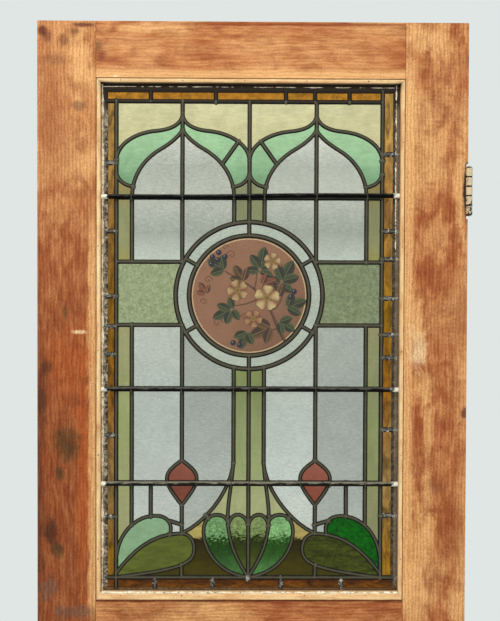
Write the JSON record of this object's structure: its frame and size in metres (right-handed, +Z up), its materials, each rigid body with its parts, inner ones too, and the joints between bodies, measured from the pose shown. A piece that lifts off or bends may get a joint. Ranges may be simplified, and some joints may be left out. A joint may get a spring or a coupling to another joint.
{
  "type": "half-glazed door",
  "caption": "Framed softwood door with a leaded light of coloured glass over flat panels, hung on butt hinges.",
  "frame": {"origin": "middle of the upper jamb leaf, on the face that lies on the door jamb", "axes": "+Z up, +X out of the jamb leaves' outer faces towards the jamb, -Y towards the viewer of the beaded face and the knuckles"},
  "size_m": [0.8196, 0.0566, 2.032],
  "materials": {
    "stripped_pine": "bare stripped pine, waxed, with old stains",
    "lead": "dull lead with soldered joints",
    "painted_iron": "dark iron with worn old paint",
    "pale_yellow_glass": "rippled, pale yellow",
    "mint_glass": "rippled, mint green",
    "white_rippled_glass": "rippled, almost clear",
    "olive_glass": "rippled, olive yellow",
    "speckled_green_glass": "seeded and speckled, yellow green",
    "painted_glass": "fired paint on tan glass",
    "red_glass": "smooth, dull red",
    "leaf_green_glass": "streaky leaf green",
    "dark_olive_glass": "streaky dark olive",
    "petal_green_glass": "streaky green",
    "amber_olive_glass": "streaky amber and olive",
    "amber_glass": "streaky amber"
  },
  "bodies": {
    "jamb": {"hinge_pin_lower": "painted_iron", "hinge_pin_upper": "painted_iron", "jamb_leaf_lower": "painted_iron", "jamb_leaf_upper": "painted_iron"},
    "door": {"arch_band_inner_left": "mint_glass", "arch_band_inner_right": "mint_glass", "arch_band_outer_left": "mint_glass", "arch_band_outer_right": "mint_glass", "arch_light_left": "white_rippled_glass", "arch_light_right": "white_rippled_glass", "border_strip_foot": "amber_glass", "border_strip_head": "amber_glass", "border_strip_left": "amber_glass", "border_strip_right": "amber_glass", "bottom_rail": "stripped_pine", "bud_left": "red_glass", "bud_right": "red_glass", "centre_light_lower_left": "olive_glass", "centre_light_lower_right": "olive_glass", "centre_light_upper": "olive_glass", "door_leaf_lower": "painted_iron", "door_leaf_upper": "painted_iron", "edge_light_lower_left": "olive_glass", "edge_light_lower_right": "olive_glass", "edge_light_upper_left": "olive_glass", "edge_light_upper_right": "olive_glass", "glazing_bead_foot": "stripped_pine", "glazing_bead_head": "stripped_pine", "glazing_bead_left": "stripped_pine", "glazing_bead_right": "stripped_pine", "ground_left": "amber_olive_glass", "ground_right": "amber_olive_glass", "hanging_stile": "stripped_pine", "inner_light_left": "white_rippled_glass", "inner_light_right": "white_rippled_glass", "inner_petals": "petal_green_glass", "lead_cames": "lead", "lock_rail": "stripped_pine", "lock_stile": "stripped_pine", "lower_leaf_left": "dark_olive_glass", "lower_leaf_right": "dark_olive_glass", "lower_panel_left": "stripped_pine", "lower_panel_right": "stripped_pine", "muntin": "stripped_pine", "outer_light_left": "white_rippled_glass", "outer_light_right": "white_rippled_glass", "outer_petal_left": "petal_green_glass", "outer_petal_right": "petal_green_glass", "painted_roundel": "painted_glass", "ring_light": "white_rippled_glass", "saddle_bar_lower": "painted_iron", "saddle_bar_middle": "painted_iron", "saddle_bar_upper": "painted_iron", "speckled_square_left": "speckled_green_glass", "speckled_square_right": "speckled_green_glass", "top_light_left": "pale_yellow_glass", "top_light_right": "pale_yellow_glass", "top_rail": "stripped_pine", "upper_leaf_left": "leaf_green_glass", "upper_leaf_right": "leaf_green_glass"}
  },
  "joints": [
    {"name": "door_swing", "type": "hinge", "parent": "jamb", "child": "door", "pos_m": [-0.00355, -0.0215, 0], "axis": [0, 0, 1], "range_deg": [0, 180]}
  ]
}
